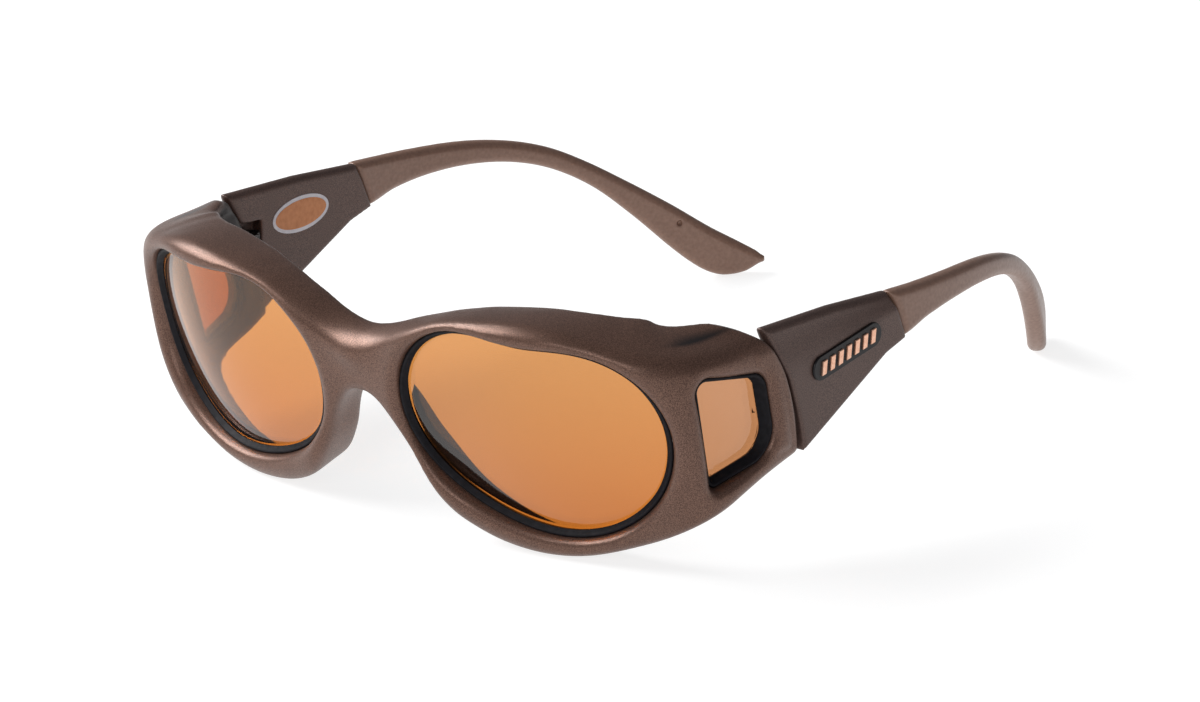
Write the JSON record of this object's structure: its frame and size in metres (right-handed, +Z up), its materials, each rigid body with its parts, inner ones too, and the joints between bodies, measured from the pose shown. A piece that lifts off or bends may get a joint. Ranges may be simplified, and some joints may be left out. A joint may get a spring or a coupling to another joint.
{
  "type": "fit-over wrap sunglasses",
  "caption": "Wrap-around sunglasses with amber lenses, side windows and folding temples, worn over a pair of spectacles.",
  "frame": {"origin": "under the middle of the object, at the height of the surface that it stands on with the temples open", "axes": "+Z up, lenses towards -Y, temples back along +Y, +X the wearer's left"},
  "size_m": [0.1442, 0.1597, 0.0485],
  "materials": {
    "frame_bronze": "soft-touch bronze with fine metallic speckle",
    "arm_bronze": "soft-touch dark bronze with fine metallic speckle",
    "rear_satin": "satin flexible plastic",
    "amber_lens": "polarised amber with a faint grey-violet reflection",
    "amber_side_lens": "amber side lens",
    "seal_black": "black strip",
    "hinge_steel": "stamped leaf",
    "screw_steel": "turned",
    "wire_steel": "drawn wire",
    "badge_black": "gloss black",
    "badge_copper": "satin copper foil",
    "label_print": "printed oval label"
  },
  "bodies": {
    "front": {"front_frame": "frame_bronze", "lens_left": "amber_lens", "lens_right": "amber_lens", "lens_seal_left": "seal_black", "lens_seal_right": "seal_black", "side_lens_left": "amber_side_lens", "side_lens_right": "amber_side_lens", "side_seal_left": "seal_black", "side_seal_right": "seal_black", "hinge_front_leaf_left": "hinge_steel", "hinge_front_leaf_right": "hinge_steel", "hinge_screw_left": "screw_steel", "hinge_screw_right": "screw_steel"},
    "temple_left": {"temple_arm_left": "arm_bronze", "hinge_temple_leaf_left": "hinge_steel", "temple_rear_left": "rear_satin", "temple_wire_left": "wire_steel", "badge_plate_left": "badge_black", "badge_bars_left": "badge_copper"},
    "temple_right": {"temple_arm_right": "arm_bronze", "hinge_temple_leaf_right": "hinge_steel", "temple_rear_right": "rear_satin", "temple_wire_right": "wire_steel", "badge_plate_right": "badge_black", "badge_bars_right": "badge_copper", "inner_label_right": "label_print"}
  },
  "joints": [
    {"name": "temple_left_fold", "type": "hinge", "parent": "front", "child": "temple_left", "pos_m": [0.0676, -0.03654, 0.03013], "axis": [0, 0.0872, 0.9962], "range_deg": [0, 80]},
    {"name": "temple_right_fold", "type": "hinge", "parent": "front", "child": "temple_right", "pos_m": [-0.0676, -0.03654, 0.03013], "axis": [0, -0.0872, -0.9962], "range_deg": [0, 64]}
  ]
}
